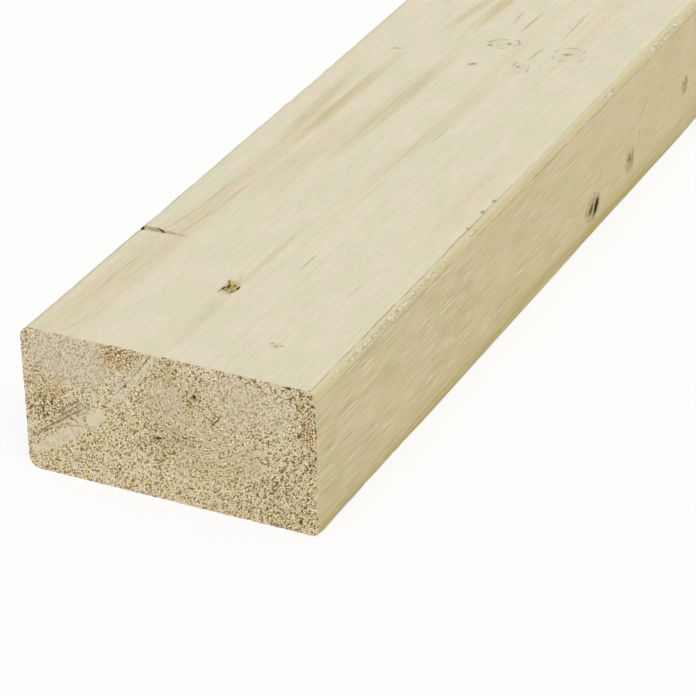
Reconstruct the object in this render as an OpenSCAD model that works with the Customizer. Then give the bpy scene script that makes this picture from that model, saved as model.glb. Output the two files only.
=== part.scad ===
// Dressed softwood framing timber: one straight length of sawn and planed stock
// with four eased long edges and square-cut ends. It lies on its wide face.
// X runs across the wide face, Y along the grain and Z up; the origin is at the
// centre of the bottom face. All sizes are in millimetres.

/* [Section] */
// Width of the wide face, square edge to square edge
plank_w = 90; // [40:1:300]
// Thickness between the two wide faces
plank_t = 45; // [20:1:100]
// Radius that the moulder eases each long edge to
arris_r = 3.5; // [1:0.5:6]

/* [Length] */
// Length that the stock is cut to
plank_l = 1800; // [300:100:6000]

/* [Hidden] */
// How far a cutter reaches past the face that it cuts
cutter_over = 1;
// Sides of a full turn of an eased edge
$fn = 96;

// Waste that the moulder takes off the square edge at [0, 0]
module arris_waste() {
    difference() {
        translate([-cutter_over, -cutter_over]) square(cutter_over + arris_r);
        translate([arris_r, arris_r]) circle(r = arris_r);
    }
}

// The dressed section, standing on its bottom face and centred across
module section() {
    half_w = plank_w / 2;
    half_t = plank_t / 2;
    translate([0, half_t]) difference() {
        square([plank_w, plank_t], center = true);
        for (across = [0, 1], upright = [0, 1])
            mirror([across, 0]) mirror([0, upright])
                translate([-half_w, -half_t]) arris_waste();
    }
}

// One length of stock, its grain along Y
module plank() {
    color("#dcd4b8") rotate([90, 0, 0]) linear_extrude(height = plank_l, center = true) section();
}

plank();
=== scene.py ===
"""Looks of one length of dressed softwood framing timber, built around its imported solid.

Places on the plank are in millimetres: x across from the middle, y along from the near end, z up.
"""

import math
from collections import namedtuple

import bpy
import numpy as np
from mathutils import Euler, Matrix, Vector


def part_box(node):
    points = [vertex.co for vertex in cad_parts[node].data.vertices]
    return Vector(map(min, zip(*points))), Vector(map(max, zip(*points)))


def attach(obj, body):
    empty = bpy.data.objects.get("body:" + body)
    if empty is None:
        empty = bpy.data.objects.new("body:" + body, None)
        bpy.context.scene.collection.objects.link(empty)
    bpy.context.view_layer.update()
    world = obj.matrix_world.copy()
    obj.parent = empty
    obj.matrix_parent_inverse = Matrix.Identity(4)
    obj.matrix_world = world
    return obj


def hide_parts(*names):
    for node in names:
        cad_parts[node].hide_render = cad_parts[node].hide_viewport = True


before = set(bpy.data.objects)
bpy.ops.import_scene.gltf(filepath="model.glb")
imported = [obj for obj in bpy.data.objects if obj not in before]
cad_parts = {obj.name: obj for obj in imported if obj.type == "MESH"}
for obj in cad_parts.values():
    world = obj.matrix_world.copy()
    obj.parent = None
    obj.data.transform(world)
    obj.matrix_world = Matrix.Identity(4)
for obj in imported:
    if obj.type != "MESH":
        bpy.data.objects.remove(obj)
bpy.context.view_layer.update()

# Sizes of the stock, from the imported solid
MM = 0.001
node_low, node_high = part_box("plank")
WIDTH, LENGTH, THICK = (node_high - node_low) / MM
HALF_W = WIDTH / 2
ORIGIN = Vector(((node_low.x + node_high.x) / 2, node_low.y, node_low.z))
# How far each eased edge reaches across and upright, from the bottom left round the section
EASED = ((3.9, 3.9), (0.7, 0.7), (1.6, 3.6), (3.4, 3.4))
# The same right at an end, where handling wore them, and how far along that wear goes
WORN = ((3.9, 3.9), (2.0, 2.0), (1.8, 3.6), (3.4, 3.4))
WEAR_LENGTH = 3.0
# The side and the level of each of those corners
CORNERS = ((-1, 0), (1, 0), (1, 1), (-1, 1))

# Fineness of the mesh: steps on half an eased edge, across a wide face and across a narrow one
ARC_STEPS = 3
WIDE_STEPS = 54
NARROW_STEPS = 24
# Steps of an end's edge for each step of a long face's edge
END_FINENESS = 3
# Where the rows along the length start, and how far apart they are from there on
ROW_ZONES = ((0.8, 1.6), (62.0, 0.45), (69.0, 1.7), (300.0, 12.5), (1700.0, 4.0))

# Where the pith runs at the near end, and how far it strays across for each millimetre along
PITH_X = 8.3
PITH_Z = 34.5
GRAIN_DRIFT = 0.02
# Width of a growth ring, and how far it bends in and out
RING_PITCH = 2.5
RING_BEND = 3.0
# Size of the tufts of fibre on a sawn end, and the turn that lays them flat on it and leans them
TUFT_SIZE = (0.36, 0.72, 1.0)
TUFT_TURN = (math.radians(90), math.radians(38), 0.0)

# A mark on one face: its middle there, its half sizes, its turn in degrees and its strength
Mark = namedtuple("Mark", "face across along half_across half_along turn strength")
# A face: its axes across, along and out, the level that it lies at and the way marks turn on it
Face = namedtuple("Face", "across along out level way")
X, Y, Z = range(3)
FACES = {
    "top": Face(X, Y, Z, THICK, -1),
    "bottom": Face(X, Y, Z, 0.0, -1),
    "right": Face(Z, Y, X, HALF_W, 1),
    "left": Face(Z, Y, X, -HALF_W, 1),
    "near": Face(X, Z, Y, 0.0, 1),
    "far": Face(X, Z, Y, LENGTH, 1),
}
# How far a mark reaches into the wood, and how many times its own size its distance is known
MARK_DEPTH = 2.5
FARTHEST = 4.0


def line(face, start, end, half_width, strength):
    """A long thin mark between two places on a face."""
    across, along = end[0] - start[0], end[1] - start[1]
    turn = FACES[face].way * math.degrees(math.atan2(across, along))
    middle = ((start[0] + end[0]) / 2, (start[1] + end[1]) / 2)
    return Mark(face, *middle, half_width, math.hypot(across, along) / 2, turn, strength)


# Knots, most of them in whorls
KNOTS = (
    Mark("top", 0.4, 225.9, 5.7, 3.4, 32, 0.60),
    Mark("top", 12.8, 211.3, 2.6, 4.4, 20, 0.60),
    Mark("top", 23.5, 226.2, 5.6, 5.4, 0, 0.40),
    Mark("right", 9.6, 194.4, 4.2, 6.0, 0, 1.00),
    Mark("right", 12.1, 225.4, 4.0, 3.2, 0, 1.00),
    Mark("right", 18.1, 274.4, 2.9, 2.8, 0, 1.00),
    Mark("left", 17.0, 215.0, 4.4, 4.8, 0, 0.80),
    Mark("bottom", -14.0, 222.0, 5.4, 6.4, 0, 0.75),
    Mark("top", -19.0, 640.0, 6.0, 8.0, 0, 0.75),
    Mark("top", 26.0, 668.0, 3.6, 4.2, 0, 0.65),
    Mark("left", 24.0, 655.0, 5.0, 5.6, 0, 0.75),
    Mark("right", 27.0, 690.0, 3.4, 3.6, 0, 0.80),
    Mark("bottom", 10.0, 650.0, 6.5, 7.0, 0, 0.75),
    Mark("top", 4.0, 1085.0, 4.6, 6.0, 15, 0.70),
    Mark("bottom", -22.0, 1102.0, 5.2, 6.0, 0, 0.70),
    Mark("right", 16.0, 1110.0, 5.2, 6.2, 0, 0.85),
    Mark("top", 30.0, 1490.0, 5.2, 6.6, 0, 0.70),
    Mark("top", -24.0, 1512.0, 3.2, 3.8, 0, 0.60),
    Mark("left", 26.0, 1500.0, 4.2, 4.6, 0, 0.75),
    Mark("bottom", 16.0, 1505.0, 4.6, 5.4, 0, 0.70),
)

# How dark the disc and the rim of a knot are on each face
WIDE_KNOT = (0.25, 0.75)
NARROW_KNOT = (0.95, 0.30)
KNOT_SHARES = {"top": WIDE_KNOT, "bottom": WIDE_KNOT, "right": NARROW_KNOT, "left": NARROW_KNOT}

# Soft brown streaks along the grain
STREAKS = (
    line("top", (-36.0, -20.2), (-29.3, 119.0), 4.6, 0.34),
    line("top", (-32.4, 134.0), (-34.2, 182.0), 2.0, 0.65),
    line("top", (-28.1, 136.0), (-26.6, 200.0), 1.9, 0.90),
    line("top", (-13.2, 136.0), (-10.6, 208.0), 2.8, 0.70),
    line("top", (3.6, 113.0), (11.3, 199.7), 2.4, 0.40),
    line("top", (-13.3, 233.0), (-10.9, 277.3), 2.2, 0.85),
    line("top", (-21.2, 231.0), (-16.5, 267.3), 1.5, 0.65),
    line("top", (-25.8, 92.8), (-17.2, 161.4), 4.5, 0.30),
    line("top", (-0.8, 44.4), (-0.2, 82.7), 1.1, 0.45),
    line("top", (-2.2, 40.3), (-1.0, 8.1), 1.9, 0.40),
)

# Thin dark lines along the grain
HAIRLINES = (
    line("top", (-37.2, 8.4), (-35.6, 25.8), 0.28, 0.25),
    line("top", (-35.6, 25.8), (-35.7, 39.4), 0.28, 0.50),
    line("top", (-35.7, 39.4), (-34.4, 52.2), 0.28, 0.40),
    line("top", (-34.4, 52.2), (-34.7, 57.4), 0.28, 0.25),
    line("top", (-33.1, 2.1), (-30.8, 8.8), 0.28, 0.45),
    line("top", (-30.8, 8.8), (-30.8, 14.6), 0.28, 0.40),
    line("top", (-30.8, 14.6), (-30.5, 22.9), 0.28, 0.25),
    line("top", (-35.8, 68.0), (-33.6, 83.4), 0.30, 0.55),
    line("top", (-33.6, 83.4), (-33.0, 100.6), 0.30, 0.55),
    line("top", (-30.8, 68.1), (-28.5, 85.1), 0.30, 0.55),
    line("top", (-28.5, 85.1), (-28.0, 101.8), 0.30, 0.55),
    line("top", (2.0, 237.5), (2.5, 252.7), 0.42, 0.90),
    line("top", (16.8, 236.0), (16.2, 260.2), 0.36, 0.60),
    line("top", (-3.0, 243.0), (-3.9, 253.1), 0.36, 0.60),
    line("top", (12.8, 218.4), (13.7, 227.0), 0.36, 0.80),
    line("top", (10.5, 60.2), (10.8, 70.3), 0.30, 0.75),
    line("top", (29.7, 49.4), (30.4, 60.5), 0.28, 0.50),
    line("top", (10.1, 148.2), (10.5, 163.4), 0.28, 0.45),
    line("top", (7.1, 99.3), (8.3, 127.1), 0.25, 0.35),
    line("right", (21.3, 201.5), (16.8, 200.1), 0.35, 0.70),
    line("right", (28.9, 240.5), (23.7, 233.9), 0.35, 0.70),
)

# Small dark spots of resin and bark
SPECKS = (
    line("top", (-3.2, 206.5), (-1.2, 208.5), 0.75, 0.85),
    line("top", (-31.6, 208.2), (-27.6, 209.6), 0.55, 0.45),
    Mark("top", -3.0, 223.3, 0.8, 0.7, 0, 0.75),
    Mark("top", 2.3, 226.3, 0.8, 0.8, 0, 0.80),
    Mark("top", 12.0, 211.2, 0.6, 0.7, 0, 0.70),
    line("top", (21.2, 225.5), (24.0, 226.9), 0.6, 0.85),
    Mark("right", 12.8, 225.4, 1.2, 0.9, 0, 1.00),
    line("right", (15.4, 228.3), (8.1, 228.0), 0.6, 0.75),
    line("right", (20.8, 276.0), (17.4, 277.1), 0.6, 0.80),
    line("right", (17.4, 277.1), (15.3, 274.4), 0.5, 0.80),
    line("right", (16.6, 233.1), (19.6, 234.2), 0.5, 0.50),
    Mark("top", 43.0, 121.6, 0.5, 0.9, 0, 0.90),
    Mark("top", 42.8, 113.8, 0.5, 0.9, 0, 0.90),
    Mark("top", 43.1, 102.4, 0.4, 0.6, 0, 0.80),
    Mark("top", 24.3, 18.6, 1.9, 1.1, 0, 0.25),
    Mark("top", 22.8, 19.1, 0.6, 0.5, 0, 0.60),
    Mark("top", 24.4, 18.0, 0.7, 0.5, 0, 0.75),
    Mark("top", 25.9, 18.8, 0.5, 0.5, 0, 0.60),
)

# The crack that runs over the top left edge, and those in the first knot of the right face
SPLIT = (
    Mark("top", -43.6, 64.9, 1.3, 2.1, 0, 1.00),
    line("top", (-46.0, 66.3), (-34.2, 65.5), 0.44, 0.56),
    line("top", (-39.0, 66.5), (-35.0, 65.3), 0.28, 0.80),
    line("top", (-35.8, 66.0), (-31.7, 65.6), 0.24, 0.45),
    line("top", (-31.9, 65.8), (-28.4, 65.1), 0.22, 0.36),
)
CRACKS = (
    line("right", (11.6, 199.5), (6.2, 195.2), 1.45, 1.00),
    line("right", (10.8, 194.6), (8.1, 191.3), 0.85, 0.85),
)

BARK_STAIN = Mark("top", -2.5, 43.3, 2.1, 3.9, 12, 1.00)
BARK_MOSS = (
    Mark("top", -2.7, 45.2, 0.9, 1.5, 20, 1.00),
    line("top", (-2.0, 46.6), (-2.7, 51.2), 0.45, 0.45),
    Mark("top", -1.4, 42.4, 0.8, 1.0, 0, 0.80),
)
BARK_CORE = Mark("top", -2.6, 42.4, 1.6, 1.6, 0, 0.60)
BARK_CHECKS = (
    line("top", (-4.1, 43.3), (-4.2, 40.9), 0.42, 0.85),
    line("top", (-4.1, 41.6), (-4.5, 39.4), 0.22, 0.60),
    line("top", (-4.9, 46.9), (-3.5, 44.3), 0.26, 0.65),
    line("top", (-3.6, 44.9), (-3.2, 42.3), 0.38, 1.00),
    line("top", (-2.3, 45.0), (-1.3, 44.1), 0.36, 0.85),
    line("top", (-0.5, 44.5), (-0.3, 42.4), 0.36, 1.00),
    line("top", (-0.3, 42.6), (-1.7, 39.6), 0.26, 0.75),
)

# Stretches of the top right edge that the planer tore
EDGE_TEARS = (
    Mark("top", 44.5, 47.0, 5.0, 40.0, 0, 1.00),
    Mark("top", 44.5, 102.0, 4.0, 5.0, 0, 0.90),
    Mark("top", 44.5, 206.8, 5.0, 7.0, 0, 0.90),
    Mark("top", 44.5, 260.0, 5.0, 24.0, 0, 1.00),
)

# On the near end: smooth pale wood of a branch that the saw met along its length
BRANCH = (
    Mark("near", -22.7, 20.7, 3.7, 2.0, -45, 0.95),
    Mark("near", -34.6, 11.6, 10.5, 2.1, -36, 0.80),
    line("near", (-1.0, 48.0), (-18.5, 25.0), 1.8, 0.60),
)
BRANCH_JOINTS = (
    line("near", (-27.0, 20.0), (-24.4, 16.6), 0.16, 0.60),
    line("near", (-31.6, 16.8), (-29.0, 13.2), 0.16, 0.60),
    line("near", (-35.6, 13.8), (-33.0, 10.4), 0.16, 0.60),
    line("near", (-40.0, 10.4), (-37.6, 7.2), 0.16, 0.60),
    line("near", (-32.4, 16.7), (-26.3, 17.2), 0.22, 0.70),
    line("near", (-26.3, 17.2), (-22.2, 16.0), 0.22, 0.70),
)
# Browner, more torn end grain
TORN = (
    Mark("near", -14.0, 42.6, 6.5, 4.6, 0, 1.00),
    Mark("near", -38.6, 21.6, 7.5, 5.2, -20, 0.90),
    Mark("near", 0.5, 42.0, 4.0, 4.5, 0, 0.70),
    Mark("near", 43.0, 30.0, 3.8, 12.0, 0, 1.00),
    Mark("near", 36.0, 7.0, 14.0, 11.0, 0, 0.60),
    Mark("near", -3.0, 18.0, 8.0, 6.0, 0, 0.50),
    Mark("near", 8.3, 33.5, 3.0, 5.0, 0, 0.55),
    Mark("far", -20.0, 12.0, 18.0, 10.0, 0, 0.80),
    Mark("far", 30.0, 30.0, 12.0, 10.0, 0, 0.70),
)
# Greyer, smoother end grain
SMOOTH = (
    Mark("near", -29.0, 39.0, 16.0, 9.0, 0, 1.00),
    Mark("near", 1.0, 33.0, 5.0, 5.0, 0, 0.75),
    Mark("near", 27.0, 37.0, 14.0, 7.0, 0, 0.70),
    Mark("near", 25.7, 16.2, 2.4, 4.0, 30, 0.60),
    Mark("near", -31.0, 20.0, 8.5, 3.6, -36, 0.40),
    Mark("far", -30.0, 36.0, 14.0, 8.0, 0, 0.90),
    Mark("far", 20.0, 12.0, 12.0, 8.0, 0, 0.70),
)
# Stained tongues of wood under the grey corner
OCHRE = (
    Mark("near", -41.4, 27.2, 1.1, 4.2, 0, 0.65),
    Mark("near", -37.9, 28.0, 0.8, 3.4, 0, 0.80),
    Mark("near", -34.2, 29.0, 1.2, 3.6, 0, 0.65),
    line("near", (2.6, 46.0), (-3.0, 37.0), 0.9, 0.60),
)
# Where the rings show as smooth arcs
ARCS_SHOW = (
    Mark("near", 14.0, 19.0, 14.0, 9.0, 0, 1.00),
    Mark("near", 1.5, 29.0, 9.0, 12.0, 0, 1.00),
    Mark("near", 19.0, 34.0, 8.0, 8.0, 0, 0.45),
)
# Rows of pits along the branch, darkened with painted shade
PIT_ROWS = (
    line("near", (-40.9, 12.6), (-25.0, 24.0), 0.32, 0.85),
    line("near", (-35.1, 17.9), (-25.2, 25.7), 0.30, 0.80),
    line("near", (-34.5, 20.4), (-24.8, 26.9), 0.26, 0.65),
    line("near", (-41.6, 11.6), (-35.7, 14.9), 0.30, 0.80),
    line("near", (-43.7, 10.2), (-39.2, 12.2), 0.30, 0.75),
)
# Splits in the end grain, darkened with painted shade
END_CRACKS = (
    Mark("near", PITH_X, PITH_Z, 0.55, 0.75, 0, 1.00),
    line("near", (15.8, 29.8), (13.2, 26.6), 0.16, 0.70),
    line("near", (-4.8, 18.6), (-2.6, 19.0), 0.32, 1.00),
    line("near", (-3.9, 45.4), (-7.3, 40.4), 0.15, 0.45),
    line("near", (-7.3, 40.4), (-10.6, 36.2), 0.13, 0.38),
    line("near", (-10.6, 36.2), (-16.3, 29.5), 0.11, 0.28),
    line("near", (-40.1, 20.2), (-39.3, 19.1), 0.24, 0.90),
    line("near", (-39.7, 18.1), (-39.0, 16.9), 0.28, 1.00),
    line("near", (37.1, 13.4), (43.7, 23.2), 0.24, 0.30),
    line("near", (33.2, 16.5), (36.0, 20.0), 0.26, 0.45),
    line("near", (34.6, 10.3), (39.9, 17.0), 0.20, 0.25),
    Mark("near", -12.7, 33.2, 0.4, 0.4, 0, 0.80),
    Mark("near", 22.9, 44.2, 0.50, 0.35, 0, 0.80),
    Mark("near", 27.0, 43.9, 0.40, 0.40, 0, 0.80),
    Mark("near", 37.0, 44.2, 0.80, 0.35, 0, 0.85),
    line("near", (37.3, 40.5), (38.1, 41.6), 0.22, 0.80),
)


def tone(red, green, blue):
    """The linear colour that a shader takes, from levels of 0 to 255 as on a screen."""
    shares = [level / 255 for level in (red, green, blue)]
    linear = [s / 12.92 if s <= 0.04045 else ((s + 0.055) / 1.055) ** 2.4 for s in shares]
    return (*linear, 1.0)


# Colours of planed wood
CREAM = (tone(228, 218, 193), tone(221, 217, 189))
CREAM_BAND = tone(221, 206, 174)
# The narrow faces' tone: partly their own, and partly painted shade that darkens them against the wide
# faces
HONEY_AND_SHADE = (tone(217, 199, 160), tone(211, 197, 152))
FIBRE_DARK = tone(170, 152, 110)
MOTTLE_DARK = tone(176, 160, 112)
LATE_WOOD = tone(186, 160, 112)
TICK_PALE = tone(246, 234, 198)
TICK_DARK = tone(158, 140, 94)
PORE_PALE = tone(246, 242, 224)
PORE_DARK = tone(150, 134, 92)
# Painted shade low on the narrow faces: olive stripes, and the low edge where the plank meets the floor
LOW_SHADE_STRIPE = tone(180, 166, 98)
LOW_EDGE_SHADE = tone(150, 130, 74)
STREAK_BROWN = tone(196, 176, 132)
HAIRLINE_BROWN = tone(140, 118, 76)
# Painted shade over the rounded top edges, and darker painted shade in lines along their creases
EDGE_BAND_SHADE = tone(213, 202, 157)
EDGE_CREASE_SHADE = tone(138, 120, 74)
FLECK_PALE = tone(254, 246, 220)
FLECK_DARK = tone(146, 127, 80)
KNOT_DISC = tone(150, 133, 82)
KNOT_RIM = tone(112, 94, 52)
SPECK_BROWN = tone(104, 92, 46)
STAIN_YELLOW = tone(178, 158, 78)
MOSS_GREEN = tone(188, 172, 66)
# Painted shade in cracks and bark checks, nearly black where they are deep
CRACK_SHALLOW_SHADE = tone(128, 106, 52)
CRACK_DEEP_SHADE = tone(36, 27, 8)
# Colours of sawn end grain
SAWN = (tone(219, 195, 147), tone(215, 197, 157))
SAWN_SMOOTH = tone(208, 195, 170)
SAWN_TORN = tone(192, 160, 106)
SAWN_OCHRE = tone(182, 165, 120)
SAWN_LATE = tone(168, 138, 94)
SAWN_ARC = tone(208, 190, 152)
SAWN_BRANCH = tone(218, 207, 182)
# Painted highlight on the tufts of fibre, and painted shade in the pits between them
TUFT_HIGHLIGHT = tone(255, 247, 220)
PIT_SHADE = tone(104, 76, 28)
ARC_EDGE = tone(128, 104, 60)
JOINT_BROWN = tone(140, 118, 80)
# Painted shade in the splits of the end grain
END_CRACK = tone(52, 40, 22)


def ellipsoid(mark):
    """The middle, half sizes and turn of the ellipsoid that puts a mark on its face."""
    face = FACES[mark.face]
    middle, half, turn = [0.0] * 3, [MARK_DEPTH] * 3, [0.0] * 3
    middle[face.across], middle[face.along], middle[face.out] = mark.across, mark.along, face.level
    half[face.across], half[face.along] = mark.half_across, mark.half_along
    turn[face.out] = math.radians(mark.turn)
    return middle, half, turn


# Noise for the shape of the mesh: odd numbers that mix the axes, the seed and the result
AXIS_MIX = (73856093, 19349663, 83492791)
SEED_MIX = 2654435761
LAST_MIX = 1274126177
LOW_32_BITS = 0xFFFFFFFF
LOW_16_BITS = 0xFFFF


def hashed(cells, seed):
    """A number from 0 to 1 for each whole-numbered cell, the same on every run."""
    x, y, z = (cells[..., axis].astype(np.int64) * AXIS_MIX[axis] for axis in (X, Y, Z))
    mixed = x ^ y ^ z ^ (seed * SEED_MIX)
    mixed = ((mixed ^ (mixed >> 13)) * LAST_MIX) & LOW_32_BITS
    mixed = (mixed ^ (mixed >> 16)) & LOW_16_BITS
    return mixed / LOW_16_BITS


def rough(points, size, seed):
    """Smooth noise from 0 to 1 with bumps of about the given size in x, y and z."""
    scaled = points / np.asarray(size, float)
    cell = np.floor(scaled)
    share = scaled - cell
    share = share * share * (3 - 2 * share)
    total = np.zeros(len(points))
    for corner in np.ndindex(2, 2, 2):
        weight = np.prod(np.where(corner, share, 1 - share), axis=1)
        total += weight * hashed(cell + corner, seed)
    return total


def reach(mark, points):
    """How far each point lies from a mark's middle: 1 on its rim."""
    middle, half, turn = ellipsoid(mark)
    local = (points - middle) @ np.array(Euler(turn).to_matrix()) / half
    return np.linalg.norm(local, axis=1)


def within(marks, points, soft):
    """The strength of the marks that each point lies in, fading over a share of their size."""
    total = np.zeros(len(points))
    for mark in marks:
        share = np.clip((1 + soft - reach(mark, points)) / (2 * soft), 0, 1)
        total = np.maximum(total, mark.strength * share)
    return total


# Depths of the planed faces: waves of the planer, torn and dented edges, rims of knots, and bark
WAVE_DEPTH = 0.05
EDGE_TEAR_DEPTH = 0.35
EDGE_DENT_DEPTH = 0.10
KNOT_RIM_DEPTH = 0.12
BARK_DEPTH = 0.3
# The split over the top left edge: its depth there, and how far it runs over the top and down the side
SPLIT_DEPTH = 2.2
SPLIT_ON_TOP = 15.0
SPLIT_ON_SIDE = 8.0
# Its half width at its tips, and how much wider it is at the edge
SPLIT_TIP = 0.35
SPLIT_OPENING = 0.9
# Depths of a sawn end: fine and coarse tufts, and cracks
FINE_TUFT_DEPTH = 0.45
COARSE_TUFT_DEPTH = 0.25
END_CRACK_DEPTH = 0.9


# The shape
def outline(fineness, corner_reaches):
    """Points round the section, the way they face and their girth from the nearest eased edge's middle.

    They start in the middle of the bottom left edge. Girth counts up on the narrow faces and down
    on the wide ones.
    """
    steps = ARC_STEPS * fineness
    places, facing, girth = [], [], []
    for side in range(4):
        arcs, normals = [], []
        for corner, start in ((side, 225 + 90 * side), ((side + 1) % 4, 270 + 90 * side)):
            turned = np.radians(np.linspace(start, start + 45, steps + 1))
            round_turn = np.stack([np.cos(turned), np.sin(turned)], 1)
            eased = np.array(corner_reaches[corner])
            right, high = CORNERS[corner]
            centre = np.array([right * (HALF_W - eased[0]), high * THICK + (1 - 2 * high) * eased[1]])
            arcs.append(centre + round_turn * eased)
            normal = round_turn / eased
            normals.append(normal / np.linalg.norm(normal, axis=1)[:, None])
        count = (NARROW_STEPS if side % 2 else WIDE_STEPS) * fineness
        shares = np.linspace(0, 1, count + 1)[:, None]
        straight = arcs[0][-1] + shares * (arcs[1][0] - arcs[0][-1])
        level = np.repeat(normals[1][:1], count + 1, axis=0)
        path = np.concatenate([arcs[0][:-1], straight[:-1], arcs[1]])
        run = np.concatenate([[0], np.cumsum(np.linalg.norm(np.diff(path, axis=0), axis=1))])
        nearest = np.minimum(run, run[-1] - run)
        places.append(path[:-1])
        facing.append(np.concatenate([normals[0][:-1], level[:-1], normals[1]])[:-1])
        girth.append((nearest if side % 2 else -nearest)[:-1])
    return np.concatenate(places), np.concatenate(facing), np.concatenate(girth)


def rows():
    """Where the rings of points round the plank lie along it."""
    stations = []
    ends = [zone[0] for zone in ROW_ZONES[1:]] + [LENGTH - ROW_ZONES[0][0]]
    for (start, pitch), end in zip(ROW_ZONES, ends):
        count = max(1, round((end - start) / pitch))
        stations.extend(np.linspace(start, end, count, endpoint=False))
    stations.append(ends[-1])
    return np.array(stations)


def face_depth(points, girth):
    """How deep the planed surface lies below the stock's outline."""
    depth = WAVE_DEPTH * rough(points, (6, 80, 6), 1)
    edge = np.clip(1.4 - np.abs(girth) / 2.6, 0, 1)
    patchy = np.clip(3 * rough(points, (9, 26, 9), 2) - 1.3, 0, 1)
    depth += EDGE_TEAR_DEPTH * edge * patchy * rough(points, (1.3, 3.0, 1.3), 3)
    depth += EDGE_DENT_DEPTH * edge * rough(points, (4, 22, 4), 4)
    for knot in KNOTS:
        rim = np.exp(-((reach(knot, points) - 1.0) / 0.35) ** 2)
        depth += KNOT_RIM_DEPTH * knot.strength * rim
    depth += BARK_DEPTH * within((BARK_STAIN,), points, 0.4)
    return depth + split_depth(points, girth)


def split_depth(points, girth):
    """The notch of the crack that runs over the top left edge."""
    first, last = SPLIT[0], SPLIT[-1]
    slope = (last.along - first.along) / (last.across - first.across)
    middle = first.along + slope * (points[:, X] - first.across)
    reaches = np.where(girth < 0, SPLIT_ON_TOP, SPLIT_ON_SIDE)
    on_edge = (points[:, X] < 0) & (points[:, Z] > THICK / 2)
    fade = np.clip(1 - np.abs(girth) / reaches, 0, 1) * on_edge
    width = SPLIT_TIP + SPLIT_OPENING * fade
    return SPLIT_DEPTH * fade * np.clip(1 - np.abs(points[:, Y] - middle) / width, 0, 1)


def end_depth(points):
    """How deep the sawn end lies below its plane."""
    torn = 0.35 + 0.9 * within(TORN, points, 0.6)
    torn = torn * (1 - 0.7 * within(SMOOTH, points, 0.5)) * (1 - 0.9 * within(BRANCH, points, 0.4))
    fine = rough(points, (1.1, 1.1, 1.1), 5)
    coarse = rough(points, (2.6, 2.6, 2.6), 6)
    depth = torn * (FINE_TUFT_DEPTH * fine + COARSE_TUFT_DEPTH * coarse)
    return depth + END_CRACK_DEPTH * within(END_CRACKS, points, 0.5)


def end_grid(edge, fineness):
    """Points over an end, spread between the points of its edge, with their numbers round that edge."""
    wide = (WIDE_STEPS + 2 * ARC_STEPS) * fineness
    narrow = (NARROW_STEPS + 2 * ARC_STEPS) * fineness
    loop = np.concatenate([edge, edge[:1]])
    bottom = loop[: wide + 1]
    right = loop[wide : wide + narrow + 1]
    top = loop[wide + narrow : 2 * wide + narrow + 1][::-1]
    left = loop[2 * wide + narrow :][::-1]
    u = np.linspace(0, 1, wide + 1)[:, None, None]
    v = np.linspace(0, 1, narrow + 1)[None, :, None]
    lofted = (1 - v) * bottom[:, None] + v * top[:, None] + (1 - u) * left[None] + u * right[None]
    corners = (1 - u) * ((1 - v) * bottom[0] + v * top[0]) + u * ((1 - v) * bottom[-1] + v * top[-1])
    numbers = np.arange((wide + 1) * (narrow + 1)).reshape(wide + 1, narrow + 1)
    ring = np.concatenate([numbers[:-1, 0], numbers[-1, :-1], numbers[:0:-1, -1], numbers[0, :0:-1]])
    return (lofted - corners).reshape(-1, 2), numbers, ring


def lifted(section, station):
    """Points of a section at a station along the plank."""
    return np.stack([section[:, 0], np.full(len(section), station), section[:, 1]], 1)


def plank_points(grid, stations):
    """The points of the near end, of each ring along the plank and of the far end, and a ring's girth."""
    coarse, facing, girth = outline(1, EASED)
    worn, _, _ = outline(1, WORN)
    outward = lifted(facing, 0.0)
    near = lifted(grid, 0.0)
    near[:, Y] += end_depth(near)
    far = lifted(grid, LENGTH)
    far[:, Y] -= end_depth(far)
    bands = []
    for station in stations:
        inward = min(1.0, min(station, LENGTH - station) / WEAR_LENGTH)
        band = lifted(worn + (coarse - worn) * inward, station)
        bands.append(band - outward * face_depth(band, girth)[:, None])
    return np.concatenate([near, *bands, far]), girth


def end_faces(numbers):
    """The faces of the near end, between the numbers of its points."""
    faces = []
    for i in range(numbers.shape[0] - 1):
        for k in range(numbers.shape[1] - 1):
            faces.append((numbers[i, k], numbers[i + 1, k], numbers[i + 1, k + 1], numbers[i, k + 1]))
    return faces


def long_faces(ring, count, band_starts, far_start):
    """The faces along the plank, with those that join each coarse ring to the finer edge of an end."""
    faces = []
    for i in range(count):
        j = (i + 1) % count
        for low in band_starts[:-1]:
            faces.append((low + i, low + count + i, low + count + j, low + j))
        f0, f1, f2, f3 = (ring[(END_FINENESS * i + n) % len(ring)] for n in range(END_FINENESS + 1))
        c0, c1 = band_starts[0] + i, band_starts[0] + j
        faces.extend([(f0, c0, f1), (f1, c0, c1, f2), (f2, c1, f3)])
        f0, f1, f2, f3 = (far_start + n for n in (f0, f1, f2, f3))
        c0, c1 = band_starts[-1] + i, band_starts[-1] + j
        faces.extend([(c0, f0, f1), (c0, f1, f2, c1), (c1, f2, f3)])
    return faces


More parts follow.
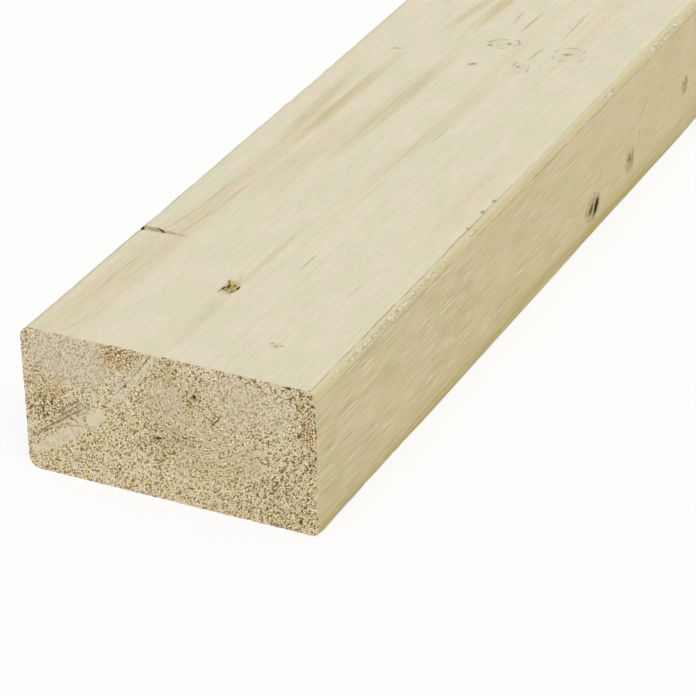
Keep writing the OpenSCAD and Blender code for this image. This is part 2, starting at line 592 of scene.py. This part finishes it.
def plank_mesh():
    """The plank as one closed mesh, with its girth and the part of it that is end grain."""
    fine, _, fine_girth = outline(END_FINENESS, WORN)
    grid, numbers, ring = end_grid(fine, END_FINENESS)
    stations = rows()
    vertices, coarse_girth = plank_points(grid, stations)
    count = len(coarse_girth)
    end_girth = np.zeros(len(grid))
    end_girth[ring] = fine_girth
    girth = np.concatenate([end_girth, np.tile(coarse_girth, len(stations)), end_girth])

    band_starts = [len(grid) + count * band for band in range(len(stations))]
    far_start = band_starts[-1] + count
    ends = end_faces(numbers)
    ends.extend([tuple(far_start + n for n in face[::-1]) for face in ends])
    faces = ends + long_faces(ring, count, band_starts, far_start)

    mesh = bpy.data.meshes.new("timber_plank")
    mesh.from_pydata((vertices * MM + np.array(ORIGIN)).tolist(), [], faces)
    is_end = np.zeros(len(faces), np.int32)
    is_end[: len(ends)] = 1
    mesh.polygons.foreach_set("material_index", is_end)
    mesh.polygons.foreach_set("use_smooth", np.ones(len(faces), bool))
    mesh.attributes.new("girth", "FLOAT", "POINT").data.foreach_set("value", girth.astype(np.float32))
    rim = set(ring.tolist()) | set((ring + far_start).tolist())
    for edge in mesh.edges:
        edge.use_edge_sharp = edge.vertices[0] in rim and edge.vertices[1] in rim
    mesh.validate()
    mesh.update()
    return mesh


# Materials
class Graph:
    """Adds nodes to one material or sky. Each call returns the socket that holds its result."""

    def __init__(self, owner):
        owner.use_nodes = True
        self.tree = owner.node_tree
        self.tree.nodes.clear()

    def add(self, kind, inputs, output=0, **settings):
        node = self.tree.nodes.new(kind)
        for name, value in settings.items():
            setattr(node, name, value)
        for key, value in inputs.items():
            if isinstance(value, bpy.types.NodeSocket):
                self.tree.links.new(value, node.inputs[key])
            else:
                node.inputs[key].default_value = value
        return node.outputs[output] if node.outputs else None

    def math(self, operation, *values):
        return self.add("ShaderNodeMath", dict(enumerate(values)), operation=operation)

    def times(self, *values):
        total = values[0]
        for value in values[1:]:
            total = self.math("MULTIPLY", total, value)
        return total

    def vector(self, operation, *values, output=0):
        return self.add("ShaderNodeVectorMath", dict(enumerate(values)), output, operation=operation)

    def place(self):
        """The place on the plank in millimetres."""
        metres = self.add("ShaderNodeTexCoord", {}, "Object")
        return self.local(metres, ORIGIN, (0, 0, 0), (MM,) * 3)

    def local(self, place, middle, turn, size):
        """A place as it lies about a turned middle, in parts of the given size."""
        inputs = {"Vector": place, "Location": middle, "Rotation": turn, "Scale": size}
        return self.add("ShaderNodeMapping", inputs, vector_type="TEXTURE")

    def noise(self, place, size, detail=2.0, contrast=0.5):
        """Noise about 0.5 with bumps of about the given size in x, y and z."""
        scaled = self.local(place, (0, 0, 0), (0, 0, 0), size)
        inputs = {"Vector": scaled, "Scale": 1.0, "Detail": detail, "Roughness": contrast}
        return self.add("ShaderNodeTexNoise", inputs)

    def cells(self, place, turn, size):
        """Cells of the given size on a turned plane: the distance to the middle, and a number for each."""
        turned = self.local(place, (0, 0, 0), turn, size)
        inputs = {"Vector": turned, "Scale": 1.0}
        gap = self.add("ShaderNodeTexVoronoi", inputs, "Distance", voronoi_dimensions="2D")
        colour = gap.node.outputs["Color"]
        return gap, self.add("ShaderNodeSeparateColor", {"Color": colour}, "Red")

    def step(self, value, low, high, start=0.0, end=1.0):
        """Goes smoothly from start to end as the value goes from low to high."""
        inputs = {"Value": value, "From Min": low, "From Max": high, "To Min": start, "To Max": end}
        return self.add("ShaderNodeMapRange", inputs, interpolation_type="SMOOTHSTEP")

    def near(self, value, middle, spread):
        """1 where the value is at the middle, down to 0 as far away as the spread."""
        gap = self.math("ABSOLUTE", self.math("SUBTRACT", value, middle))
        return self.step(gap, spread, 0.0)

    def mix(self, share, first, second):
        inputs = {0: share, 6: first, 7: second}
        return self.add("ShaderNodeMix", inputs, 2, data_type="RGBA")

    def distance(self, place, mark, wobble=None):
        """How far a place lies from a mark's middle: 1 on its rim, and at most FARTHEST."""
        middle, half, turn = ellipsoid(mark)
        local = self.local(place, middle, turn, [FARTHEST * size for size in half])
        ball = self.add("ShaderNodeTexGradient", {"Vector": local}, "Fac", gradient_type="SPHERICAL")
        length = self.math("MULTIPLY_ADD", ball, -FARTHEST, FARTHEST)
        return length if wobble is None else self.math("ADD", length, wobble)

    def within(self, place, marks, soft, wobble=None):
        """The strength of the mark that a place lies in, fading over a share of its size."""
        total = 0.0
        for mark in marks:
            gap = self.distance(place, mark, wobble)
            share = self.step(gap, 1 + soft, 1 - soft, 0.0, mark.strength)
            total = self.math("MAXIMUM", total, share)
        return total

    def finish(self, colour, roughness, height, specular):
        """Ends in one surface with bumps of the given height in millimetres."""
        normal = self.add("ShaderNodeBump", {"Strength": 1.0, "Distance": MM, "Height": height})
        inputs = {"Base Color": colour, "Roughness": roughness, "Normal": normal}
        surface = self.add("ShaderNodeBsdfPrincipled", inputs | {"Specular IOR Level": specular})
        self.add("ShaderNodeOutputMaterial", {"Surface": surface})


def growth_rings(graph, place):
    """The wave of the growth rings about the pith: 1 in the late wood of each ring."""
    x, y, z = (graph.add("ShaderNodeSeparateXYZ", {"Vector": place}, axis) for axis in (X, Y, Z))
    bend = graph.noise(place, (16, 240, 16), 1.0)
    stray = graph.math("MULTIPLY_ADD", y, GRAIN_DRIFT, PITH_X)
    out_x = graph.math("SUBTRACT", x, stray)
    out_z = graph.math("SUBTRACT", z, PITH_Z)
    flat = graph.add("ShaderNodeCombineXYZ", {"X": out_x, "Y": 0.0, "Z": out_z})
    radius = graph.vector("LENGTH", flat, output="Value")
    radius = graph.math("MULTIPLY_ADD", bend, RING_BEND, radius)
    return graph.math("SINE", graph.math("MULTIPLY", radius, math.tau / RING_PITCH))


def fresh_wood(graph, place, narrow):
    """Plain planed wood: cream on the wide faces and honey on the narrow ones, whose darker tone is partly
    their own and partly painted shade. Also its fibres.
    """
    blotch = graph.noise(place, (9, 18, 9), 2.0)
    bands = graph.noise(place, (6, 150, 6), 3.0)
    fibre = graph.noise(place, (0.5, 10, 0.5), 3.0, 0.6)
    mottle = graph.noise(place, (2.0, 4.0, 2.0), 3.0, 0.6)
    cream = graph.mix(graph.step(blotch, 0.36, 0.64), *CREAM)
    cream = graph.mix(graph.step(bands, 0.50, 0.74, 0.0, 0.6), cream, CREAM_BAND)
    honey = graph.mix(graph.step(blotch, 0.36, 0.64), *HONEY_AND_SHADE)
    colour = graph.mix(narrow, cream, honey)
    amount = graph.math("MULTIPLY_ADD", narrow, 0.05, 0.07)
    colour = graph.mix(graph.times(graph.step(fibre, 0.34, 0.70), amount), colour, FIBRE_DARK)
    colour = graph.mix(graph.step(mottle, 0.46, 0.70, 0.0, 0.09), colour, MOTTLE_DARK)
    late = graph.step(growth_rings(graph, place), 0.80, 1.0, 0.0, 0.10)
    return graph.mix(late, colour, LATE_WOOD), fibre


def torn_fibres(graph, place, narrow, colour):
    """Pale and dark ticks along the grain where fibres tore, most of them on the narrow faces."""
    along = graph.add("ShaderNodeSeparateXYZ", {"Vector": place}, "Y")
    ticks = graph.noise(place, (0.20, 13.0, 0.20), 1.0)
    where = graph.step(graph.noise(place, (9, 34, 9), 1.0), 0.38, 0.60, 0.40, 1.0)
    amount = graph.times(where, graph.math("MULTIPLY_ADD", narrow, 0.85, 0.10))
    amount = graph.times(amount, graph.step(along, 230.0, 90.0, 0.35, 1.0))
    pale = graph.times(graph.step(ticks, 0.55, 0.63), amount)
    dark = graph.times(graph.step(ticks, 0.45, 0.36), amount)
    colour = graph.mix(graph.times(pale, 0.72), colour, TICK_PALE)
    return graph.mix(graph.times(dark, 0.60), colour, TICK_DARK), pale


def pepper(graph, place, narrow, colour):
    """Fine pores, pale and dark, in patches on the wide faces."""
    where = graph.step(graph.noise(place, (16, 30, 16), 1.0), 0.46, 0.62)
    wide = graph.math("SUBTRACT", 1.0, narrow)
    gap, pick = graph.cells(place, (0, 0, 0), (0.9, 1.6, 1.0))
    dot = graph.times(graph.step(gap, 0.34, 0.12), where, wide)
    colour = graph.mix(graph.times(dot, graph.step(pick, 0.60, 0.90), 0.3), colour, PORE_PALE)
    return graph.mix(graph.times(dot, graph.step(pick, 0.40, 0.10), 0.18), colour, PORE_DARK)


def low_painted_shade(graph, place, colour):
    """Olive stripes of painted shade low on the narrow faces, and darker painted shade along the low edge
    where the plank meets the floor.
    """
    height = graph.add("ShaderNodeSeparateXYZ", {"Vector": place}, "Z")
    stripe = graph.noise(place, (1.6, 60, 1.6), 2.0)
    low = graph.times(graph.step(height, 9.0, 1.5), graph.step(stripe, 0.40, 0.60, 0.35, 1.0))
    # Painted shade near the floor: olive stripes, darkest at the low edge
    colour = graph.mix(graph.times(low, 0.86), colour, LOW_SHADE_STRIPE)
    return graph.mix(graph.step(height, 2.4, 0.2, 0.0, 0.14), colour, LOW_EDGE_SHADE)


def eased_edges(graph, place, girth, colour):
    """The band of painted shade over the rounding of each top edge, between two thin creases darkened with
    painted shade, with flecks where the planer tore it.
    """
    along = graph.add("ShaderNodeSeparateXYZ", {"Vector": place}, "Y")
    high = graph.step(graph.add("ShaderNodeSeparateXYZ", {"Vector": place}, "Z"), 15.0, 30.0)
    wander = graph.noise(place, (4, 9, 4), 1.0)
    girth = graph.math("ADD", girth, graph.math("MULTIPLY_ADD", wander, 0.8, -0.4))
    band = graph.times(graph.step(girth, -1.7, -1.3), graph.step(girth, 2.8, 2.3), high)
    # Painted shade over the rounding of the edge
    colour = graph.mix(graph.times(band, 0.75), colour, EDGE_BAND_SHADE)
    broken = graph.step(graph.noise(place, (3, 7, 3), 2.0), 0.34, 0.56, 0.25, 1.0)
    # Thin lines of painted shade along the creases at the band's borders
    upper = graph.times(graph.near(girth, -1.5, 0.34), graph.step(along, 140.0, 100.0, 0.35, 1.0))
    lower = graph.times(graph.near(girth, 2.6, 0.34), graph.step(along, 90.0, 140.0, 0.60, 0.9))
    crease = graph.times(graph.math("MAXIMUM", upper, lower), broken, high)
    colour = graph.mix(graph.times(crease, 0.75), colour, EDGE_CREASE_SHADE)
    torn = graph.within(place, EDGE_TEARS, 0.4)
    later = graph.step(graph.noise(place, (12, 40, 12), 1.0), 0.52, 0.62)
    torn = graph.math("MAXIMUM", torn, graph.times(later, graph.step(along, 290.0, 330.0)))
    flecks = graph.noise(place, (0.40, 1.4, 0.40), 2.0, 0.6)
    strip = graph.times(torn, band, graph.step(girth, -0.7, 0.5))
    pale = graph.times(graph.step(flecks, 0.47, 0.55), strip)
    dark = graph.times(graph.step(flecks, 0.42, 0.34), strip)
    colour = graph.mix(graph.times(pale, 0.95), colour, FLECK_PALE)
    return graph.mix(graph.times(dark, 0.75), colour, FLECK_DARK), pale


def knotted(graph, place, ragged, colour):
    """The knots: smudged discs on the narrow faces and thin broken rims on the wide ones."""
    wobble = graph.times(ragged, 0.35)
    disc, rim = 0.0, 0.0
    for knot in KNOTS:
        disc_share, rim_share = KNOT_SHARES[knot.face]
        gap = graph.distance(place, knot, wobble)
        disc = graph.math("MAXIMUM", disc, graph.step(gap, 1.25, 0.40, 0.0, disc_share * knot.strength))
        edge = graph.times(graph.near(gap, 0.98, 0.18), rim_share * knot.strength)
        rim = graph.math("MAXIMUM", rim, edge)
    broken = graph.step(graph.noise(place, (2.2, 3.0, 2.2), 1.0), 0.44, 0.60)
    rim = graph.times(rim, broken)
    streaky = graph.step(graph.noise(place, (0.8, 1.2, 0.8), 2.0), 0.40, 0.62, 0.25, 1.0)
    colour = graph.mix(graph.times(disc, streaky), colour, KNOT_DISC)
    return graph.mix(rim, colour, KNOT_RIM)


def shaded_cracks(graph, dark, colour):
    """Cracks and bark, darkened with painted shade: olive brown where they are shallow and nearly black
    where they are deep. The bark core is also dark in its own right.
    """
    colour = graph.mix(graph.times(dark, 0.85), colour, CRACK_SHALLOW_SHADE)
    return graph.mix(graph.step(dark, 0.45, 0.95), colour, CRACK_DEEP_SHADE)


def streaked(graph, place, ragged, colour):
    """Soft brown streaks and thin dark lines along the grain."""
    strand = graph.step(graph.noise(place, (1.3, 26, 1.3), 2.0), 0.32, 0.64, 0.50, 1.0)
    streak = graph.times(graph.within(place, STREAKS, 0.7, graph.times(ragged, 0.4)), strand)
    colour = graph.mix(graph.times(streak, 0.85), colour, STREAK_BROWN)
    hair = graph.within(place, HAIRLINES, 0.6, graph.times(ragged, 0.5))
    return graph.mix(graph.times(hair, 0.55), colour, HAIRLINE_BROWN)


def spotted(graph, place, ragged, colour):
    """Small dark specks, and the stain and the mossy parts of the bark knot."""
    specks = graph.within(place, SPECKS, 0.6, ragged)
    colour = graph.mix(graph.times(specks, 0.75), colour, SPECK_BROWN)
    stain = graph.within(place, (BARK_STAIN,), 0.6, ragged)
    colour = graph.mix(graph.times(stain, 0.7), colour, STAIN_YELLOW)
    moss = graph.within(place, BARK_MOSS, 0.6, graph.times(ragged, 0.6))
    return graph.mix(graph.times(moss, 0.8), colour, MOSS_GREEN)


def crack_depth(graph, place, ragged):
    """How deep the cracks and the bark lie: 1 in the deepest and 0 away from them."""
    core = graph.within(place, (BARK_CORE,), 0.4, ragged)
    core = graph.times(core, graph.step(graph.noise(place, (0.7, 1.0, 0.7), 1.0), 0.46, 0.56))
    dark = graph.within(place, SPLIT + CRACKS + BARK_CHECKS, 0.5, graph.times(ragged, 0.45))
    return graph.math("MAXIMUM", dark, core)


# Heights of the bumps on a planed face, and its shine
FIBRE_HEIGHT = 0.04
TICK_HEIGHT = 0.05
FLECK_HEIGHT = 0.22
CRACK_HEIGHT = -0.6
PLANED_SPECULAR = 0.22


def planed_material():
    """The four planed long faces and their eased edges."""
    material = bpy.data.materials.new("planed_softwood")
    graph = Graph(material)
    place = graph.place()
    girth = graph.add("ShaderNodeAttribute", {}, "Fac", attribute_name="girth")
    narrow = graph.step(girth, -0.3, 0.3)
    small = graph.noise(place, (1.1, 1.6, 1.1), 2.0, 0.6)
    # What makes the rims of the marks ragged
    ragged = graph.math("MULTIPLY_ADD", small, 1.6, -0.8)

    colour, fibre = fresh_wood(graph, place, narrow)
    colour, tick = torn_fibres(graph, place, narrow, colour)
    colour = pepper(graph, place, narrow, colour)
    # Painted shade low on the narrow faces, near the floor
    colour = graph.mix(narrow, colour, low_painted_shade(graph, place, colour))
    colour = streaked(graph, place, ragged, colour)
    colour, fleck = eased_edges(graph, place, girth, colour)
    colour = knotted(graph, place, ragged, colour)
    colour = spotted(graph, place, ragged, colour)
    dark = crack_depth(graph, place, ragged)
    # Painted shade in the cracks and the bark, on top of the bark's own dark colour
    colour = shaded_cracks(graph, dark, colour)

    height = graph.math("MULTIPLY_ADD", fibre, FIBRE_HEIGHT, graph.times(tick, TICK_HEIGHT))
    height = graph.math("MULTIPLY_ADD", fleck, FLECK_HEIGHT, height)
    height = graph.math("MULTIPLY_ADD", dark, CRACK_HEIGHT, height)
    roughness = graph.math("MAXIMUM", graph.step(fibre, 0.3, 0.7, 0.60, 0.76), dark)
    graph.finish(colour, roughness, height, PLANED_SPECULAR)
    return material


def torn_end(graph, place, wave, amount):
    """Tufts of torn fibre on a sawn end, and the pits between them, as masks for bumps, painted highlights
    on the tufts and painted shade in the pits.
    """
    gap, pick = graph.cells(place, TUFT_TURN, TUFT_SIZE)
    turned = graph.local(place, (0, 0, 0), TUFT_TURN, (1, 1, 1))
    grit = graph.noise(turned, (0.28, 0.9, 0.28), 1.0)
    gap = graph.math("ADD", gap, graph.math("MULTIPLY_ADD", grit, 0.5, -0.25))
    tuft = graph.times(graph.step(gap, 0.56, 0.22), graph.step(pick, 0.40, 0.56), amount)
    gap = graph.math("MULTIPLY_ADD", wave, -0.14, gap)
    hole = graph.times(graph.step(gap, 0.60, 0.28), graph.step(pick, 0.24, 0.17))
    pit = graph.times(graph.math("MAXIMUM", graph.step(gap, 0.62, 1.00), hole), amount)
    dotted = graph.times(graph.within(place, PIT_ROWS, 0.6), graph.step(grit, 0.36, 0.50))
    return tuft, graph.math("MAXIMUM", pit, dotted)


# Heights of the bumps on a sawn end, its roughness and its shine
TUFT_HEIGHT = 0.13
END_CRACK_HEIGHT = -0.5
SAWN_ROUGHNESS = 0.90
SAWN_SPECULAR = 0.05


def sawn_material():
    """The two sawn ends: tufts of torn fibre with painted highlights and the pits between them with
    painted shade, over the growth rings.
    """
    material = bpy.data.materials.new("sawn_end_grain")
    graph = Graph(material)
    place = graph.place()
    soft = graph.noise(place, (5, 5, 5), 3.0, 0.6)
    shift = graph.math("MULTIPLY_ADD", soft, 1.8, -0.9)
    torn = graph.within(place, TORN, 0.7, shift)
    smooth = graph.within(place, SMOOTH, 0.5, shift)
    branch = graph.within(place, BRANCH, 0.25, graph.times(shift, 0.35))
    ochre = graph.within(place, OCHRE, 0.6, shift)
    wave = growth_rings(graph, place)
    patchy = graph.noise(place, (8, 8, 8), 2.0)

    colour = graph.mix(graph.step(patchy, 0.36, 0.64), *SAWN)
    colour = graph.mix(graph.times(smooth, 0.85), colour, SAWN_SMOOTH)
    colour = graph.mix(graph.times(torn, 0.85), colour, SAWN_TORN)
    colour = graph.mix(graph.times(ochre, 0.85), colour, SAWN_OCHRE)
    shown = graph.within(place, ARCS_SHOW, 0.5)
    arcs = graph.times(graph.step(wave, 0.50, 0.90), shown)
    late = graph.step(wave, 0.55, 1.0, 0.0, 0.10)
    colour = graph.mix(late, colour, SAWN_LATE)
    colour = graph.mix(graph.times(arcs, 0.70), colour, SAWN_ARC)
    colour = graph.mix(graph.times(branch, 0.9), colour, SAWN_BRANCH)

    # How rough each part is
    amount = graph.math("MULTIPLY_ADD", torn, 0.35, 1.05)
    for calm, share in ((smooth, -0.48), (ochre, -0.70), (branch, -0.88), (arcs, -0.90)):
        amount = graph.times(amount, graph.math("MULTIPLY_ADD", calm, share, 1.0))
    tuft, pit = torn_end(graph, place, wave, amount)
    # Painted highlights on the tufts and painted shade in the pits
    colour = graph.mix(graph.times(tuft, 0.98), colour, TUFT_HIGHLIGHT)
    colour = graph.mix(graph.times(pit, 0.88), colour, PIT_SHADE)
    edge = graph.times(graph.near(wave, 0.30, 0.40), graph.math("MULTIPLY_ADD", shown, 0.55, 0.03))
    colour = graph.mix(edge, colour, ARC_EDGE)
    joints = graph.within(place, BRANCH_JOINTS, 0.6, graph.times(shift, 0.3))
    colour = graph.mix(graph.times(joints, 0.75), colour, JOINT_BROWN)
    cracks = graph.within(place, END_CRACKS, 0.5, graph.times(shift, 0.3))
    # Painted shade in the splits
    colour = graph.mix(graph.times(cracks, 0.9), colour, END_CRACK)

    height = graph.times(graph.math("SUBTRACT", tuft, pit), TUFT_HEIGHT)
    height = graph.math("MULTIPLY_ADD", cracks, END_CRACK_HEIGHT, height)
    graph.finish(colour, SAWN_ROUGHNESS, height, SAWN_SPECULAR)
    return material


# The unrolled map that the finished surface is drawn on: the gap round each part, the number of strips
# that the length is cut into, and the part of the map that a millimetre of an end takes
MAP_MARGIN = 0.012
MAP_STRIPS = 3
END_SCALE = 0.0049


def draw_map(mesh):
    """Lays the long faces out in strips of equal length side by side, with the ends larger above them."""
    corners = np.zeros(len(mesh.loops), np.int64)
    mesh.loops.foreach_get("vertex_index", corners)
    places = np.zeros(len(mesh.vertices) * 3)
    mesh.vertices.foreach_get("co", places)
    places = (places.reshape(-1, 3) - np.array(ORIGIN)) / MM
    per_face = np.zeros(len(mesh.polygons), np.int64)
    mesh.polygons.foreach_get("loop_total", per_face)
    is_end = np.zeros(len(mesh.polygons), np.int32)
    mesh.polygons.foreach_get("material_index", is_end)
    face_of = np.repeat(np.arange(len(per_face)), per_face)
    x, y, z = places[corners].T
    firsts = np.concatenate([[0], np.cumsum(per_face)[:-1]])
    middle_x, middle_y, middle_z = (
        np.add.reduceat(axis, firsts)[face_of] / per_face[face_of] for axis in (x, y, z)
    )

    # Round the plank from its bottom left edge, in strips
    round_length = 2 * (WIDTH + THICK)
    unrolled = unroll(x, z)
    unrolled_middle = unroll(middle_x, middle_z)
    unrolled += round_length * np.round((unrolled_middle - unrolled) / round_length)
    strip_length = LENGTH / MAP_STRIPS
    strip = np.clip(np.floor(middle_y / strip_length), 0, MAP_STRIPS - 1)
    scale = ((1 - MAP_MARGIN) / MAP_STRIPS - MAP_MARGIN) / round_length
    u = MAP_MARGIN + strip * (round_length * scale + MAP_MARGIN) + unrolled * scale
    v = MAP_MARGIN + (y - strip * strip_length) * scale

    # The two ends side by side
    far = middle_y > LENGTH / 2
    end_u = MAP_MARGIN + far * (WIDTH * END_SCALE + MAP_MARGIN) + (x + HALF_W) * END_SCALE
    end_v = 2 * MAP_MARGIN + strip_length * scale + z * END_SCALE
    on_end = is_end[face_of] == 1
    layer = mesh.uv_layers.new(name="OFBake")
    laid = np.stack([np.where(on_end, end_u, u), np.where(on_end, end_v, v)], 1)
    layer.data.foreach_set("uv", laid.astype(np.float32).ravel())


def unroll(x, z):
    """How far round the section, from its bottom left edge, the box lies nearest to each point."""
    gaps = np.stack([z, HALF_W - x, THICK - z, x + HALF_W])
    side = np.argmin(gaps, axis=0)
    runs = [x + HALF_W, WIDTH + z, WIDTH + THICK + HALF_W - x, 2 * WIDTH + THICK + THICK - z]
    return np.choose(side, runs)


def make_plank():
    """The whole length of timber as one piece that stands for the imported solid."""
    mesh = plank_mesh()
    draw_map(mesh)
    mesh.materials.append(planed_material())
    mesh.materials.append(sawn_material())
    plank = bpy.data.objects.new("timber_plank", mesh)
    bpy.context.scene.collection.objects.link(plank)
    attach(plank, "root")
    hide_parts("plank")


# The stage: the floor's size in metres, the levels of the light, where the wide lamp shines from and
# its spread in degrees
FLOOR_SIZE = 60.0
SKY_LEVEL = 0.64
SUN_LEVEL = 1.24
SUN_FROM = (0.25, -0.40, 0.88)
SUN_SPREAD = 50.0
WHITE = (1.0, 1.0, 1.0, 1.0)
FLOOR_WHITE = (0.98, 0.98, 0.98, 1.0)
# Share of plain white in the floor where it is seen
WHITE_SHARE = 0.75


def seen_directly(graph):
    """1 for what the camera sees, also in a mirror or through glass, and 0 for light on its way."""
    seen = None
    for name in ("Is Camera Ray", "Is Glossy Ray", "Is Transmission Ray"):
        ray = graph.add("ShaderNodeLightPath", {}, name)
        seen = ray if seen is None else graph.math("MAXIMUM", seen, ray)
    return seen


def make_floor():
    """A white floor that keeps a soft shadow."""
    material = bpy.data.materials.new("white_floor")
    graph = Graph(material)
    matte = graph.add("ShaderNodeBsdfDiffuse", {"Color": FLOOR_WHITE})
    plain = graph.add("ShaderNodeEmission", {"Color": WHITE, "Strength": 1.0})
    share = graph.math("MULTIPLY", seen_directly(graph), WHITE_SHARE)
    surface = graph.add("ShaderNodeMixShader", {0: share, 1: matte, 2: plain})
    graph.add("ShaderNodeOutputMaterial", {"Surface": surface})
    half = FLOOR_SIZE / 2
    mesh = bpy.data.meshes.new("floor")
    level = node_low.z
    square = [(-half, -half, level), (half, -half, level), (half, half, level), (-half, half, level)]
    mesh.from_pydata(square, [], [(0, 1, 2, 3)])
    mesh.materials.append(material)
    floor = bpy.data.objects.new("floor", mesh)
    bpy.context.scene.collection.objects.link(floor)


def make_light():
    """A pale sky all round and one wide soft lamp from above."""
    world = bpy.data.worlds.new("studio")
    bpy.context.scene.world = world
    graph = Graph(world)
    level = graph.step(seen_directly(graph), 0.0, 1.0, SKY_LEVEL, 1.0)
    sky = graph.add("ShaderNodeBackground", {"Color": WHITE, "Strength": level})
    graph.add("ShaderNodeOutputWorld", {"Surface": sky})
    lamp = bpy.data.lights.new("soft_lamp", "SUN")
    lamp.energy = SUN_LEVEL
    lamp.angle = math.radians(SUN_SPREAD)
    sun = bpy.data.objects.new("soft_lamp", lamp)
    sun.rotation_mode = "QUATERNION"
    sun.rotation_quaternion = (-Vector(SUN_FROM)).to_track_quat("-Z", "Y")
    bpy.context.scene.collection.objects.link(sun)


# The camera, fitted to the edges of the plank in the photograph, in millimetres and degrees
SENSOR = 36.0
FOCAL = 167.8
CAMERA_AZIMUTH = 26.49
CAMERA_ELEVATION = 29.23
CAMERA_ROLL = -1.16
CAMERA_DISTANCE = 878.0
# Where the camera stands, right of and above the line to the middle of the near end
CAMERA_ASIDE = (48.80, 22.40)
# The nearest and farthest that it sees, in metres
NEAREST = 0.01
FARTHEST_SEEN = 200.0


def make_camera():
    """The camera of the photograph, set by its angles about the middle of the near end."""
    azimuth, elevation, roll = (
        math.radians(angle) for angle in (CAMERA_AZIMUTH, CAMERA_ELEVATION, CAMERA_ROLL)
    )
    level = math.cos(elevation)
    back = Vector((math.sin(azimuth) * level, -math.cos(azimuth) * level, math.sin(elevation)))
    right = Vector((math.cos(azimuth), math.sin(azimuth), 0))
    up = back.cross(right)
    across = math.cos(roll) * right + math.sin(roll) * up
    upward = math.cos(roll) * up - math.sin(roll) * right
    turn = Matrix((across, upward, back)).transposed()
    aim = ORIGIN + Vector((0, 0, THICK / 2)) * MM
    place = aim + turn @ Vector((*CAMERA_ASIDE, CAMERA_DISTANCE)) * MM
    data = bpy.data.cameras.new("camera")
    data.sensor_width = SENSOR
    data.lens = FOCAL
    data.clip_start = NEAREST
    data.clip_end = FARTHEST_SEEN
    camera = bpy.data.objects.new("camera", data)
    camera.matrix_world = Matrix.Translation(place) @ turn.to_4x4()
    bpy.context.scene.collection.objects.link(camera)
    bpy.context.scene.camera = camera


bpy.context.scene.view_settings.view_transform = "Standard"
make_camera()
make_plank()
make_floor()
make_light()
